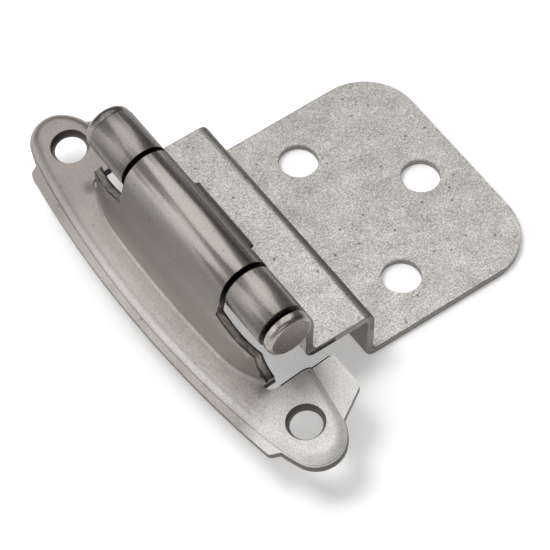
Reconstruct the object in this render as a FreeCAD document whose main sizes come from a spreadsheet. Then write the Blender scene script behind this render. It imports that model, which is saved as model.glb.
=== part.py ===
"""Self-closing surface hinge for an inset cabinet door, built as a parametric document.

The face frame is the plane Z = 0. The origin is midway between the two frame screws, X points to the
door, Y runs along the hinge pin and Z points away from the frame. Sizes are in millimetres.
The door leaf stands as the spring leaves it when no door is fitted, closed a little too far.
"""
import FreeCAD, Part
import Sketcher
import math
import os
import re

SHEET_NAME = "Sizes"
HALF_TURN = 180

SIZES = (
    ("gauge", 1.25, "thickness of both stamped sheets"),
    ("pin_x", 3.35, "pin axis, towards the door"),
    ("pin_z", 14.1, "pin axis, height above the frame"),
    ("rest_tilt", 7.5, "degrees that the free door leaf closes past square"),

    ("screw_half", 29.1, "frame screw from the middle, along the pin"),
    ("screw_hole_radius", 2.37, "frame screw hole"),
    ("screw_sink_radius", 2.92, "mouth of its countersink"),
    ("screw_sink_angle", 62.0, "included angle of its countersink, degrees"),
    ("raise", 1.1, "step from the brim up to the raised level"),
    ("raised_reach", 8.4, "raised level at the middle, away from the door"),
    ("bow_radius", 160.0, "bow of the raised level"),
    ("bow_half", 27.0, "where the bow runs into the ear"),
    ("tip_x", -0.25, "centre of the rounded ear tip"),
    ("tip_y", 31.8, "centre of the rounded ear tip"),
    ("tip_radius", 4.4, "ear tip"),
    ("step_reach", 6.25, "inner step of the ear, at the opening"),
    ("step_top_x", 4.9, "inner step of the ear, outer end"),
    ("step_top_y", 31.0, "inner step of the ear, outer end"),
    ("shoulder", 2.0, "soft shoulder round the raised level"),
    ("brim_reach", 9.1, "brim at the middle, away from the door"),
    ("brim_radius", 195.0, "bow of the brim"),
    ("brim_half", 29.5, "corner of the brim"),
    ("brim_corner", 0.9, "rounding of that corner"),
    ("tab_reach", 9.7, "straight edge of the tab"),
    ("tab_corner_y", 28.7, "outer corner of the tab"),
    ("tab_slope_y", 31.85, "outer end of the slanted tab edge"),
    ("tab_round", 0.9, "rounding of the tab corners"),
    ("opening_half", 22.2, "opening between the tabs, from the middle"),
    ("notch_x", -1.35, "end of the opening under the skirt"),
    ("notch_radius", 1.4, "rounded end of the opening"),

    ("crease", 3.65, "foot of the skirt at the middle"),
    ("foot_bow", 200.0, "bow of the skirt foot"),
    ("foot_end", 16.0, "curve of the skirt foot near its ends"),
    ("foot_round", 0.6, "hollow bend between the raised level and the skirt"),
    ("waist", 2.65, "skirt at half height, at the middle"),
    ("waist_bow", 340.0, "bow of the skirt at half height"),
    ("waist_end", 24.0, "curve near the ends at half height"),
    ("skirt_bend", 13.0, "where the two curves of the skirt meet"),
    ("lip_low_y", 19.6, "outer corner of the cut lip"),
    ("lip_low_z", 8.7, "outer corner of the cut lip"),
    ("lip_high_z", 10.9, "cut lip where it meets the barrel"),
    ("barrel_half", 11.75, "half length of the barrel"),
    ("barrel_start", 160.0, "where the skirt runs into the barrel, degrees"),
    ("barrel_end", -30.0, "end of the rolled sheet, degrees"),
    ("running_fit", 0.08, "pin to barrel, on the radius"),

    ("shank", 2.6, "radius of the pin"),
    ("knuckle_start", 12.5, "inner end of a knuckle"),
    ("leaf_half", 20.5, "half width of the door leaf, and outer end of a knuckle"),
    ("knuckle_lean", 22.0, "lean of the neck below a knuckle, degrees"),
    ("knuckle_end", -45.0, "end of the rolled knuckle, degrees"),
    ("neck_bend", 6.0, "bend between finger and neck"),
    ("finger_x", 5.8, "outer face of the finger, from the pin axis"),
    ("strip_drop", 11.46, "strip, below the pin axis"),
    ("strip_edge", 6.4, "free edge of the strip between the fingers"),
    ("wall_x", 16.83, "outer face of the step wall, from the pin axis"),
    ("inset", 9.6, "inset of the door, from strip down to plate"),
    ("plate_edge", 48.5, "outer edge of the plate, from the pin axis"),
    ("bend", 0.6, "inner radius of the folds"),
    ("plate_corner", 8.75, "outer corners of the plate"),
    ("door_hole_radius", 2.98, "door screw holes"),
    ("door_hole_near", 27.93, "two holes, from the pin axis"),
    ("door_hole_far", 41.12, "third hole, from the pin axis"),
    ("door_hole_half", 12.7, "two holes, from the middle"),
    ("window_x", 9.6, "window for the spring, towards the wall"),
    ("window_near", 1.6, "window, near end from the middle"),
    ("window_round", 1.6, "rounded corner of the window"),

    ("head_radius", 3.75, "both heads of the pin"),
    ("button_gap", 0.9, "between near knuckle and near head"),
    ("button_length", 1.5, "near head"),
    ("button_round", 0.8, "rim of the near head"),
    ("rivet_length", 1.8, "far head"),
    ("rivet_round", 1.2, "rim of the far head"),
    ("cam_flat", 2.1, "flat of the pin, from its axis"),
    ("cam_half", 11.5, "half length of that flat"),

    ("spring_gauge", 0.8, "thickness of the closing spring"),
    ("spring_near", 0.1, "near edge of the spring from the middle"),
    ("spring_far", 11.1, "far edge of the spring from the middle"),
    ("spring_fit", 0.1, "foot of the spring to the sheet above it"),
    ("spring_touch", 0.03, "spring to the flat of the pin"),
    ("spring_x", -0.7, "upright of the spring, face to the skirt"),
    ("spring_foot", 4.8, "length of its foot"),
    ("spring_fold", 0.5, "inner radius of its lower fold"),
    ("spring_turn", 1.6, "inner radius of its upper bend"),
    ("spring_run", 3.6, "straight length under the pin"),
    ("spring_curl", 0.6, "inner radius of the curled end"),
    ("spring_curl_turn", 70.0, "turn of the curled end, degrees"),
)

doc = FreeCAD.newDocument("SurfaceHinge")


def fill_sheet():
    """Write each size as text in a cell of its own, with its name as alias."""
    sheet = doc.addObject("Spreadsheet::Sheet", SHEET_NAME)
    for row, (name, number, meaning) in enumerate(SIZES, start=1):
        sheet.set("A%d" % row, meaning)
        sheet.set("B%d" % row, str(number))
        sheet.setAlias("B%d" % row, name)
    doc.recompute()
    return sheet


sheet = fill_sheet()
NAMES = {name for name, number, meaning in SIZES}


def linked(text):
    """Turn size names in a formula into references to the sheet."""
    return re.sub(r"[a-z_]+", lambda word: "%s.%s" % (SHEET_NAME, word.group())
                  if word.group() in NAMES else word.group(), text)


def number(text):
    """The present value of a formula of sizes."""
    value = sheet.evalExpression(linked(text))
    return float(getattr(value, "Value", value))


def new_body(label):
    body = doc.addObject("PartDesign::Body", label)
    body.Label = label
    return body


class Outline:
    """A sketch on one origin plane of a body. Pieces are drawn in order and bound to the sheet."""

    def __init__(self, body, name, role, offset=None):
        self.sketch = body.newObject("Sketcher::SketchObject", name)
        plane = next(item for item in body.Origin.OriginFeatures if item.Role == role)
        self.sketch.AttachmentSupport = [(plane, "")]
        self.sketch.MapMode = "FlatFace"
        if offset:
            self.sketch.setExpression("AttachmentOffset.Base.z", linked(offset))
        self.loop = []

    def constrain(self, formula, kind, *places):
        """Add one constraint, with its size bound to a formula."""
        index = self.sketch.addConstraint(Sketcher.Constraint(kind, *places, number(formula)))
        self.sketch.setExpression("Constraints[%d]" % index, linked(formula))

    def place(self, end, x=None, y=None):
        """Hold an end or centre at formulas of x and y."""
        if x is not None:
            self.constrain(x, "DistanceX", -1, 1, *end)
        if y is not None:
            self.constrain(y, "DistanceY", -1, 1, *end)

    def line(self, start, end, smooth=False):
        shape = Part.LineSegment(FreeCAD.Vector(*start, 0), FreeCAD.Vector(*end, 0))
        index = self.sketch.addGeometry(shape, False)
        return self.follow((index, 1), (index, 2), None, smooth)

    def arc(self, start, end, centre, smooth=False, long=False):
        """An arc between two points about a centre, the short way round unless long is set."""
        angles = [math.atan2(point[1] - centre[1], point[0] - centre[0]) for point in (start, end)]
        turns_left = math.sin(angles[1] - angles[0]) > 0
        if long:
            turns_left = not turns_left
        first, last = (1, 2) if turns_left else (2, 1)
        if not turns_left:
            angles.reverse()
        circle = Part.Circle(FreeCAD.Vector(*centre, 0), FreeCAD.Vector(0, 0, 1), math.dist(start, centre))
        index = self.sketch.addGeometry(Part.ArcOfCircle(circle, *angles), False)
        return self.follow((index, first), (index, last), (index, 3), smooth)

    def follow(self, first, last, centre, smooth):
        """Join the new piece to the one before it."""
        piece = {"first": first, "last": last, "centre": centre, "smooth": smooth}
        if self.loop:
            self.join(self.loop[-1], piece)
        self.loop.append(piece)
        return piece

    def join(self, before, after):
        kind = "Tangent" if after["smooth"] else "Coincident"
        self.sketch.addConstraint(Sketcher.Constraint(kind, *before["last"], *after["first"]))

    def close(self):
        """Join the last piece to the first, so that the next piece starts a new loop."""
        self.join(self.loop[-1], self.loop[0])
        self.loop = []

    def radius(self, piece, formula):
        self.constrain(formula, "Radius", piece["first"][0])

    def circle(self, x, y, radius):
        shape = Part.Circle(FreeCAD.Vector(number(x), number(y), 0), FreeCAD.Vector(0, 0, 1), number(radius))
        index = self.sketch.addGeometry(shape, False)
        self.place((index, 3), x, y)
        self.constrain(radius, "Radius", index)

    def polygon(self, corners):
        """Straight pieces through corners that are each a pair of formulas."""
        points = [(number(x), number(y)) for x, y in corners]
        for index, (x, y) in enumerate(corners):
            piece = self.line(points[index], points[(index + 1) % len(points)])
            self.place(piece["first"], x, y)
        self.close()


def pad(body, outline, name, length, symmetric=False, reverse=False):
    feature = body.newObject("PartDesign::Pad", name)
    feature.Profile = outline.sketch
    feature.setExpression("Length", linked(length))
    feature.SideType = "Symmetric" if symmetric else "One side"
    feature.Reversed = reverse
    doc.recompute()
    return feature


def pocket(body, outline, name, length, symmetric=False, reverse=False):
    """Cut an outline out of a body, and make sure that it takes something away."""
    before = body.Shape.Volume
    feature = body.newObject("PartDesign::Pocket", name)
    feature.Profile = outline.sketch
    feature.setExpression("Length", linked(length))
    feature.SideType = "Symmetric" if symmetric else "One side"
    feature.Reversed = reverse
    doc.recompute()
    if not body.Shape.Volume < before:
        raise RuntimeError(name + " cuts nothing")
    return feature


def round_edges(body, name, radius, wanted):
    """Round the edges of the newest feature whose edge passes the test."""
    base = body.Tip
    names = ["Edge%d" % index for index, edge in enumerate(base.Shape.Edges, start=1) if wanted(edge)]
    if not names:
        raise RuntimeError(name + " finds no edge")
    feature = body.newObject("PartDesign::Fillet", name)
    feature.Base = (base, names)
    feature.setExpression("Radius", linked(radius))
    doc.recompute()
    return feature


def polar(centre, radius, degrees):
    angle = math.radians(degrees)
    return (centre[0] + radius * math.cos(angle), centre[1] + radius * math.sin(angle))


def blend(start, inward, centre, radius):
    """Centre and far end of the arc that leaves start at right angles to inward and ends on a circle."""
    gap = (start[0] - centre[0], start[1] - centre[1])
    across = gap[0] * inward[0] + gap[1] * inward[1]
    size = (radius ** 2 - math.hypot(*gap) ** 2) / (2 * (across + radius))
    middle = (start[0] + size * inward[0], start[1] + size * inward[1])
    reach = math.dist(middle, centre)
    end = tuple(centre[i] + radius * (centre[i] - middle[i]) / reach for i in (0, 1))
    return middle, end


def raised_outline(body, name, inset, inner):
    """Bow and both ears of the raised level, drawn inset, with the side to the door drawn by inner."""
    plan = Outline(body, name, "XY_Plane")
    slope = "sqrt((step_top_x - step_reach) ^ 2 + (step_top_y - opening_half) ^ 2)"
    step_in_x = " - (%s) * (step_top_y - opening_half) / %s" % (inset, slope)
    step_in_y = " + (%s) * (step_top_x - step_reach) / %s" % (inset, slope)
    foot = ("step_reach" + step_in_x, "opening_half" + step_in_y)
    top = ("step_top_x" + step_in_x, "step_top_y" + step_in_y)
    bow_y = "bow_half * (bow_radius - (%s)) / bow_radius" % inset
    bow_centre = (number("bow_radius - raised_reach"), 0)
    bow_size = number("bow_radius - (%s)" % inset)
    tip_size = number("tip_radius - (%s)" % inset)

    def ear(side):
        """Numbers of one ear: step line, flank, tip, cheek and the end of the bow."""
        low = (number(foot[0]), side * number(foot[1]))
        high = (number(top[0]), side * number(top[1]))
        tip = (number("tip_x"), side * number("tip_y"))
        run = math.dist(low, high)
        inward = (-side * (high[1] - low[1]) / run, side * (high[0] - low[0]) / run)
        flank, flank_end = blend(high, inward, tip, tip_size)
        bow_end_y = side * number(bow_y)
        bow_end = (bow_centre[0] - math.sqrt(bow_size ** 2 - bow_end_y ** 2), bow_end_y)
        towards = ((bow_centre[0] - bow_end[0]) / bow_size, (bow_centre[1] - bow_end[1]) / bow_size)
        cheek, cheek_end = blend(bow_end, towards, tip, tip_size)
        return low, high, flank, flank_end, tip, cheek, cheek_end, bow_end

    def sign(side):
        return "" if side > 0 else "-"

    low, high, flank, flank_end, tip, cheek, cheek_end, bow_end = ear(1)
    step = plan.line(low, high)
    plan.place(step["first"], foot[0], foot[1])
    plan.place(step["last"], top[0], top[1])
    plan.arc(high, flank_end, flank, smooth=True)
    tip_arc = plan.arc(flank_end, cheek_end, tip, smooth=True)
    plan.arc(cheek_end, bow_end, cheek, smooth=True)
    far_low, far_high, far_flank, far_flank_end, far_tip, far_cheek, far_cheek_end, far_bow_end = ear(-1)
    bow = plan.arc(bow_end, far_bow_end, bow_centre, smooth=True)
    plan.arc(far_bow_end, far_cheek_end, far_cheek, smooth=True)
    far_tip_arc = plan.arc(far_cheek_end, far_flank_end, far_tip, smooth=True)
    plan.arc(far_flank_end, far_high, far_flank, smooth=True)
    far_step = plan.line(far_high, far_low, smooth=True)
    plan.place(far_step["first"], top[0], "-(%s)" % top[1])
    plan.place(far_step["last"], foot[0], "-(%s)" % foot[1])
    plan.place(bow["centre"], "bow_radius - raised_reach", "0")
    plan.radius(bow, "bow_radius - (%s)" % inset)
    plan.place(bow["first"], y=bow_y)
    plan.place(bow["last"], y="-(%s)" % bow_y)
    for side, arc in ((1, tip_arc), (-1, far_tip_arc)):
        plan.place(arc["centre"], "tip_x", sign(side) + "tip_y")
        plan.radius(arc, "tip_radius - (%s)" % inset)
    inner(plan, far_low, low)
    plan.close()
    return plan


def skirt_curve(plan, reach, bow, end, half, upwards=True):
    """The bowed line of the skirt from one end to the other, as three arcs that run into each other."""
    bow_size, end_size, bend_y, end_y = number(bow), number(end), number("skirt_bend"), number(half)
    middle = (number(reach) + bow_size, 0)
    bend_x = middle[0] - math.sqrt(bow_size ** 2 - bend_y ** 2)
    share = end_size / bow_size
    centre = (bend_x + share * (middle[0] - bend_x), bend_y - share * bend_y)
    tip_x = centre[0] - math.sqrt(end_size ** 2 - (end_y - centre[1]) ** 2)
    way = 1 if upwards else -1
    first = plan.arc((tip_x, -way * end_y), (bend_x, -way * bend_y), (centre[0], -way * centre[1]))
    main = plan.arc((bend_x, -way * bend_y), (bend_x, way * bend_y), middle, smooth=True)
    last = plan.arc((bend_x, way * bend_y), (tip_x, way * end_y), (centre[0], way * centre[1]), smooth=True)
    sign = "-" if upwards else ""
    other = "" if upwards else "-"
    plan.place(first["first"], y=sign + "(%s)" % half)
    plan.place(main["first"], y=sign + "skirt_bend")
    plan.place(main["last"], y=other + "skirt_bend")
    plan.place(main["centre"], "(%s) + %s" % (reach, bow), "0")
    plan.radius(main, bow)
    plan.radius(first, end)
    plan.radius(last, end)
    plan.place(last["last"], y=other + "(%s)" % half)
    return first, last, tip_x


SKIRT_HALF = "opening_half - notch_radius"
TOP = "gauge + raise"
LIP_END = "gauge + raise + foot_round + gauge / 10"
LEAN = "(180 - barrel_start) * 1deg"


def add_raised_level(body):
    """Raised level with its soft shoulder. Towards the door it ends at the opening and the skirt."""
    def door_side(plan, start, end):
        notch = number("notch_x")
        corner = number("notch_radius")
        edge = number("opening_half")
        plan.line(start, (notch + corner, -edge))
        near_arc = plan.arc((notch + corner, -edge), (notch, corner - edge), (notch + corner, corner - edge),
                            smooth=True)
        plan.line((notch, corner - edge), (notch + 1, corner - edge))
        first, last, tip_x = skirt_curve(plan, "gauge / cos(%s) - crease" % LEAN, "foot_bow", "foot_end",
                                         SKIRT_HALF)
        plan.line((tip_x, edge - corner), (notch, edge - corner))
        far_arc = plan.arc((notch, edge - corner), (notch + corner, edge), (notch + corner, edge - corner))
        plan.line((notch + corner, edge), end, smooth=True)
        for arc, sign in ((near_arc, "-"), (far_arc, "")):
            plan.radius(arc, "notch_radius")
            plan.place(arc["centre"], "notch_x + notch_radius", sign + "(%s)" % SKIRT_HALF)
        plan.place(near_arc["last"], y="-(%s)" % SKIRT_HALF)
        plan.place(far_arc["first"], y=SKIRT_HALF)
    plan = raised_outline(body, "RaisedPlan", "0", door_side)
    pad(body, plan, "RaisedLevel", TOP)
    top = number(TOP)
    edge = number("opening_half")

    def on_shoulder(item):
        box = item.BoundBox
        if abs(box.ZMin - top) > 0.001 or abs(box.ZMax - top) > 0.001:
            return False
        return box.YMax > edge + 0.01 or box.YMin < -edge - 0.01
    round_edges(body, "Shoulder", "shoulder", on_shoulder)


def add_brim_and_tabs(body):
    """The low level: a bowed brim on one side of the ears and a tab on the other."""
    plan = Outline(body, "LowPlan", "XY_Plane")
    size = number("brim_radius")
    centre = (number("brim_radius - brim_reach"), 0)
    corner_y = number("brim_half")
    corner_x = centre[0] - math.sqrt(size ** 2 - corner_y ** 2)
    inside = ("tip_x - tip_radius", "tip_y - gauge")
    bow = plan.arc((corner_x, corner_y), (corner_x, -corner_y), centre)
    low = plan.line((corner_x, -corner_y), (number(inside[0]), -number(inside[1])))
    plan.line((number(inside[0]), -number(inside[1])), (number(inside[0]), number(inside[1])))
    high = plan.line((number(inside[0]), number(inside[1])), (corner_x, corner_y))
    plan.place(bow["centre"], "brim_radius - brim_reach", "0")
    plan.radius(bow, "brim_radius")
    plan.place(bow["first"], y="brim_half")
    plan.place(bow["last"], y="-brim_half")
    plan.place(low["last"], inside[0], "-(%s)" % inside[1])
    plan.place(high["first"], inside[0], inside[1])
    plan.close()
    for side in ("", "-"):
        plan.polygon((("step_top_x - gauge", side + "opening_half"), ("tab_reach", side + "opening_half"),
                      ("tab_reach", side + "tab_corner_y"), ("step_top_x - gauge / 2", side + "tab_slope_y")))
    pad(body, plan, "LowLevel", "gauge")
    reach = number("tab_reach")
    brim = number("brim_half")

    def upright(item, x, y):
        box = item.BoundBox
        return (box.DiagonalLength < number("gauge") + 0.01 and box.ZLength > number("gauge") - 0.01
                and abs(box.XMin - x) < 0.01 and abs(abs(box.YMin) - y) < 0.01)
    round_edges(body, "TabCorners", "tab_round", lambda item: upright(item, reach, number("opening_half"))
                or upright(item, reach, number("tab_corner_y")))
    round_edges(body, "BrimCorners", "brim_corner", lambda item: upright(item, corner_x, brim))


def add_hollow(body):
    """The sheet is drawn up, so the raised level is hollow below."""
    def straight(plan, start, end):
        plan.line(start, end)
    plan = raised_outline(body, "HollowPlan", "gauge", straight)
    pocket(body, plan, "Hollow", "raise", reverse=True)


def add_skirt(body):
    """The skirt rises from a bowed foot to the straight barrel, as a loft through three sections."""
    thick = "gauge / cos(%s)" % LEAN
    heights = (TOP, "((%s) + (%s)) / 2" % (TOP, "pin_z + (shank + running_fit + gauge) * sin(%s)" % LEAN),
               "pin_z + (shank + running_fit + gauge) * sin(%s)" % LEAN)
    rows = (("-crease", "foot_bow", "foot_end"), ("-waist", "waist_bow", "waist_end"))
    sections = []
    for height, (reach, bow, end) in zip(heights, rows):
        plan = Outline(body, "SkirtSection%d" % len(sections), "XY_Plane", height)
        first, last, tip_x = skirt_curve(plan, reach, bow, end, SKIRT_HALF, upwards=False)
        inner_reach = "(%s) + %s" % (reach, thick)
        half = number(SKIRT_HALF)
        inner_tip = tip_x + number(thick)
        plan.line((tip_x, -half), (inner_tip, -half))
        skirt_curve(plan, inner_reach, bow, end, SKIRT_HALF)
        plan.line((inner_tip, half), (tip_x, half))
        plan.close()
        sections.append(plan.sketch)
    top = Outline(body, "SkirtSection2", "XY_Plane", heights[2])
    outer_x = "pin_x - (shank + running_fit + gauge) * cos(%s)" % LEAN
    inner_x = outer_x + " + " + thick
    ys = (SKIRT_HALF, "skirt_bend", "-skirt_bend", "-(%s)" % SKIRT_HALF)
    top.polygon([(outer_x, y) for y in ys] + [(inner_x, y) for y in reversed(ys)])
    sections.append(top.sketch)
    loft = body.newObject("PartDesign::AdditiveLoft", "Skirt")
    loft.Profile = sections[0]
    loft.Sections = sections[1:]
    doc.recompute()
    soften_foot(body)

    for name, side in (("FarLip", ""), ("NearLip", "-")):
        cut = Outline(body, name + "Plan", "YZ_Plane")
        above = "2 * pin_z"
        cut.polygon(((side + "barrel_half", above), (side + "barrel_half", "lip_high_z"),
                     (side + "lip_low_y", "lip_low_z"), (side + "(%s)" % SKIRT_HALF, LIP_END),
                     (side + "opening_half", LIP_END), (side + "opening_half", above)))
        pocket(body, cut, name, "4 * pin_z", symmetric=True)


def soften_foot(body):
    """Round the crease where the skirt rises from the raised level."""
    top = number(TOP)
    half = number(SKIRT_HALF)
    foot = number("-crease")

    def at_foot(item):
        box = item.BoundBox
        return (abs(box.ZMin - top) < 0.001 and abs(box.ZMax - top) < 0.001
                and max(box.YMax, -box.YMin) < half + 0.01 and abs(box.XMin - foot) < number("gauge / 2"))
    round_edges(body, "FootBend", "foot_round", at_foot)


def add_barrel(body):
    """The top of the skirt, rolled over the pin."""
    plan = Outline(body, "BarrelSection", "XZ_Plane")
    centre = (number("pin_x"), number("pin_z"))
    rolled_strip(plan, centre, "pin_x", "pin_z", "shank + running_fit", "barrel_end", "barrel_start")
    plan.close()
    pad(body, plan, "Barrel", "2 * barrel_half", symmetric=True)


def rolled_strip(plan, centre, x, z, bore, low, high):
    """Section of a sheet rolled about a bore, from the angle low up and over to the angle high."""
    inner = number(bore)
    outer = number("(%s) + gauge" % bore)
    start, end = number(low), number(high)
    outside = plan.arc(polar(centre, outer, start), polar(centre, outer, end), centre,
                       long=end - start > HALF_TURN)
    plan.line(polar(centre, outer, end), polar(centre, inner, end))
    inside = plan.arc(polar(centre, inner, end), polar(centre, inner, start), centre,
                      long=end - start > HALF_TURN)
    plan.line(polar(centre, inner, start), polar(centre, outer, start))
    for piece, size in ((outside, "(%s) + gauge" % bore), (inside, bore)):
        plan.place(piece["centre"], x, z)
        plan.radius(piece, size)
    plan.place(outside["first"], y="%s + ((%s) + gauge) * sin(%s * 1deg)" % (z, bore, low))
    plan.place(outside["last"], y="%s + ((%s) + gauge) * sin(%s * 1deg)" % (z, bore, high))
    plan.place(inside["first"], y="%s + (%s) * sin(%s * 1deg)" % (z, bore, high))
    plan.place(inside["last"], y="%s + (%s) * sin(%s * 1deg)" % (z, bore, low))


def add_screw_holes(body):
    """Countersunk holes, one through each ear."""
    plan = Outline(body, "ScrewPlan", "XY_Plane", TOP)
    for side in ("", "-"):
        plan.circle("0", side + "screw_half", "screw_hole_radius")
    doc.recompute()
    before = body.Shape.Volume
    hole = body.newObject("PartDesign::Hole", "ScrewHoles")
    hole.Profile = plan.sketch
    hole.DepthType = "ThroughAll"
    hole.setExpression("Diameter", linked("2 * screw_hole_radius"))
    hole.HoleCutType = "Countersink"
    hole.HoleCutCustomValues = True
    hole.setExpression("HoleCutDiameter", linked("2 * screw_sink_radius"))
    hole.setExpression("HoleCutCountersinkAngle", linked("screw_sink_angle"))
    doc.recompute()
    if not body.Shape.Volume < before:
        raise RuntimeError("the screw holes cut nothing")


def build_frame_leaf():
    body = new_body("frame_leaf")
    add_raised_level(body)
    add_brim_and_tabs(body)
    add_hollow(body)
    add_skirt(body)
    add_barrel(body)
    add_screw_holes(body)
    return body


def fold_edges(body, name, radius, corners):
    """Round the long edges of a folded sheet that pass through corners of its section."""
    points = [(number(x), number(z)) for x, z in corners]

    def at_corner(item):
        box = item.BoundBox
        return any(abs(box.XMin - x) < 0.01 and abs(box.XMax - x) < 0.01 and abs(box.ZMin - z) < 0.01
                   and abs(box.ZMax - z) < 0.01 for x, z in points)
    round_edges(body, name, radius, at_corner)


def add_folded_plate(body):
    """Strip, step wall and plate: one sheet with two square folds."""
    plan = Outline(body, "FoldSection", "XZ_Plane")
    plan.polygon((("strip_edge", "-strip_drop"), ("wall_x", "-strip_drop"), ("wall_x", "-strip_drop - inset"),
                  ("plate_edge", "-strip_drop - inset"), ("plate_edge", "-strip_drop - inset - gauge"),
                  ("wall_x - gauge", "-strip_drop - inset - gauge"),
                  ("wall_x - gauge", "-strip_drop - gauge"), ("strip_edge", "-strip_drop - gauge")))
    pad(body, plan, "FoldedPlate", "2 * leaf_half", symmetric=True)
    fold_edges(body, "OuterFolds", "bend + gauge",
               (("wall_x", "-strip_drop"), ("wall_x - gauge", "-strip_drop - inset - gauge")))
    fold_edges(body, "InnerFolds", "bend",
               (("wall_x", "-strip_drop - inset"), ("wall_x - gauge", "-strip_drop - gauge")))
    edge = number("plate_edge")

    def at_plate_corner(item):
        box = item.BoundBox
        return abs(box.XMin - edge) < 0.01 and abs(box.XMax - edge) < 0.01 and box.YLength < 0.01
    round_edges(body, "PlateCorners", "plate_corner", at_plate_corner)


def add_door_holes(body):
    plan = Outline(body, "DoorHolePlan", "XY_Plane", "-strip_drop - inset")
    plan.circle("door_hole_near", "door_hole_half", "door_hole_radius")
    plan.circle("door_hole_near", "-door_hole_half", "door_hole_radius")
    plan.circle("door_hole_far", "0", "door_hole_radius")
    pocket(body, plan, "DoorHoles", "2 * gauge")


def add_window(body):
    """The notch in the free edge of the strip that leaves room for the spring."""
    plan = Outline(body, "WindowPlan", "XY_Plane", "-strip_drop")
    plan.polygon((("strip_edge - gauge", "-window_near"), ("window_x", "-window_near"),
                  ("window_x", "knuckle_start"), ("strip_edge - gauge", "knuckle_start")))
    pocket(body, plan, "Window", "2 * gauge")
    reach = number("window_x")
    near = number("-window_near")

    def near_corner(item):
        box = item.BoundBox
        return (abs(box.XMin - reach) < 0.01 and abs(box.YMax - near) < 0.01
                and box.DiagonalLength < number("gauge") + 0.01)
    round_edges(body, "WindowCorner", "window_round", near_corner)


def add_finger(body, name, offset):
    """One finger: folded up from the strip, leaned back at the neck and rolled into a knuckle."""
    plan = Outline(body, name + "Section", "XZ_Plane", offset)
    fold = number("bend")
    thick = number("gauge")
    face = number("finger_x")
    strip = number("-strip_drop")
    root = face + fold + thick
    fold_centre = (face + fold, strip + fold)
    neck_y = ("(shank + gauge - neck_bend - (finger_x - neck_bend) * cos(knuckle_lean * 1deg))"
              " / sin(knuckle_lean * 1deg)")
    neck_size = number("neck_bend")
    neck = (face - neck_size, number(neck_y))
    bore = number("shank")
    lean = number("knuckle_lean")
    curl = number("knuckle_end + 360")
    eye = (0, 0)
    plan.line((root, strip - thick), (root, strip))
    top = plan.line((root, strip), (face + fold, strip))
    fold_in = plan.arc((face + fold, strip), (face, strip + fold), fold_centre, smooth=True)
    plan.line((face, strip + fold), (face, neck[1]), smooth=True)
    neck_out = plan.arc((face, neck[1]), polar(neck, neck_size, lean), neck, smooth=True)
    plan.line(polar(neck, neck_size, lean), polar(eye, bore + thick, lean), smooth=True)
    eye_out = plan.arc(polar(eye, bore + thick, lean), polar(eye, bore + thick, curl), eye, smooth=True,
                       long=True)
    plan.line(polar(eye, bore + thick, curl), polar(eye, bore, curl))
    eye_in = plan.arc(polar(eye, bore, curl), polar(eye, bore, lean), eye, long=True)
    plan.line(polar(eye, bore, lean), polar(neck, neck_size - thick, lean), smooth=True)
    neck_in = plan.arc(polar(neck, neck_size - thick, lean), (face - thick, neck[1]), neck, smooth=True)
    plan.line((face - thick, neck[1]), (face - thick, strip + fold), smooth=True)
    fold_out = plan.arc((face - thick, strip + fold), (face + fold, strip - thick), fold_centre, smooth=True)
    base = plan.line((face + fold, strip - thick), (root, strip - thick), smooth=True)
    plan.place(top["first"], "finger_x + bend + gauge", "-strip_drop")
    plan.place(base["last"], "finger_x + bend + gauge", "-strip_drop - gauge")
    for piece, radius in ((fold_in, "bend"), (fold_out, "bend + gauge")):
        plan.place(piece["centre"], "finger_x + bend", "-strip_drop + bend")
        plan.radius(piece, radius)
    for piece, radius in ((neck_out, "neck_bend"), (neck_in, "neck_bend - gauge")):
        plan.place(piece["centre"], "finger_x - neck_bend", neck_y)
        plan.radius(piece, radius)
    for piece, radius in ((eye_out, "shank + gauge"), (eye_in, "shank")):
        plan.place(piece["centre"], "0", "0")
        plan.radius(piece, radius)
    plan.place(eye_out["last"], y="(shank + gauge) * sin(knuckle_end * 1deg)")
    plan.place(eye_in["first"], y="shank * sin(knuckle_end * 1deg)")
    plan.close()
    pad(body, plan, name, "leaf_half - knuckle_start")


def build_door_leaf():
    """The leaf is drawn square about the pin axis, then turned to its rest."""
    body = new_body("door_leaf")
    add_folded_plate(body)
    add_door_holes(body)
    add_window(body)
    add_finger(body, "FarFinger", "-leaf_half")
    add_finger(body, "NearFinger", "knuckle_start")
    turn = FreeCAD.Rotation(FreeCAD.Vector(0, 1, 0), number("rest_tilt"))
    body.Placement = FreeCAD.Placement(FreeCAD.Vector(), turn)
    body.setExpression("Placement.Base.x", linked("pin_x"))
    body.setExpression("Placement.Base.z", linked("pin_z"))
    body.setExpression("Placement.Rotation.Angle", linked("rest_tilt * 1deg"))
    return body


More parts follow.
